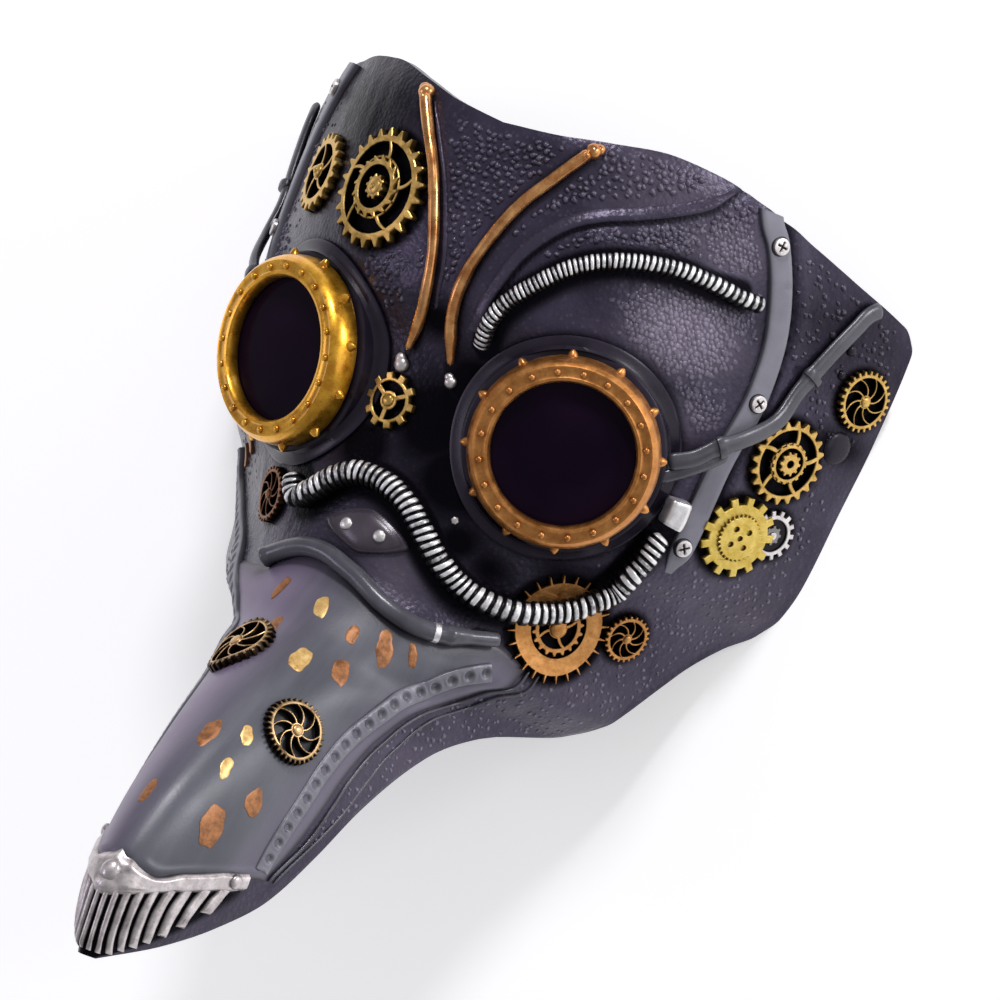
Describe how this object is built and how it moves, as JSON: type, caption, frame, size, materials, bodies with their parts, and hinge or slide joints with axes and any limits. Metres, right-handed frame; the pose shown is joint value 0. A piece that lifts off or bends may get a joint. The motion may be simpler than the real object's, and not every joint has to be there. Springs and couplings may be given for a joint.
{
  "type": "steampunk plague doctor mask",
  "caption": "Hollow moulded half mask with a long raised beak, round goggles, ribbed hoses, straps and fixed ornamental gears, lying on its rim.",
  "frame": {"origin": "middle of the mask's length and width, on the surface that its rim rests on", "axes": "+Z out of the face, +Y from the beak's tip to the forehead, +X to the right as seen from in front"},
  "size_m": [0.1814, 0.235, 0.1475],
  "materials": {
    "shell_leather": "dark pebbled leather with worn highlights",
    "beak_leather": "smooth grey leather with gold leaf flecks",
    "dark_metal": "satin dark grey",
    "brass": "antique brass with black wash",
    "copper": "antique copper with black wash",
    "silver": "brushed-on silver",
    "hose": "black ribbed hose with silvered ribs",
    "grey_strap": "smooth grey leather strap",
    "lens": "glossy black lens"
  },
  "bodies": {
    "root": {"face_shell": "shell_leather", "beak_plate": "beak_leather", "goggle_cup_left": "dark_metal", "goggle_cup_right": "dark_metal", "goggle_ring_left": "brass", "goggle_ring_right": "copper", "goggle_lens_left": "lens", "goggle_lens_right": "lens", "brow_rod_left": "copper", "brow_rod_right": "copper", "bridge_rivet_left": "silver", "bridge_rivet_right": "silver", "brow_hose": "hose", "nose_hose": "hose", "hose_clip": "silver", "temple_band_left": "grey_strap", "temple_band_right": "grey_strap", "goggle_strap_left": "grey_strap", "goggle_strap_right": "grey_strap", "band_screw_left_1": "silver", "band_screw_left_2": "silver", "band_screw_left_3": "silver", "band_screw_right_1": "silver", "band_screw_right_2": "silver", "band_screw_right_3": "silver", "nose_cap": "dark_metal", "cap_screw_left": "silver", "cap_screw_right": "silver", "root_pipe": "grey_strap", "beak_strip_left": "grey_strap", "beak_strip_right": "grey_strap", "tip_cap": "silver", "tip_boss": "silver", "tip_rivet_left": "silver", "tip_rivet_right": "silver", "gear_brow_small": "brass", "gear_brow_large": "brass", "gear_nose": "brass", "gear_cheek_fan": "copper", "gear_beak_side": "brass", "gear_beak_top": "brass", "gear_temple_fan": "brass", "gear_temple_double": "brass", "gear_temple_plate": "brass", "gear_temple_silver": "silver", "gear_cheek_ring": "copper", "gear_cheek_small": "copper"}
  },
  "joints": []
}
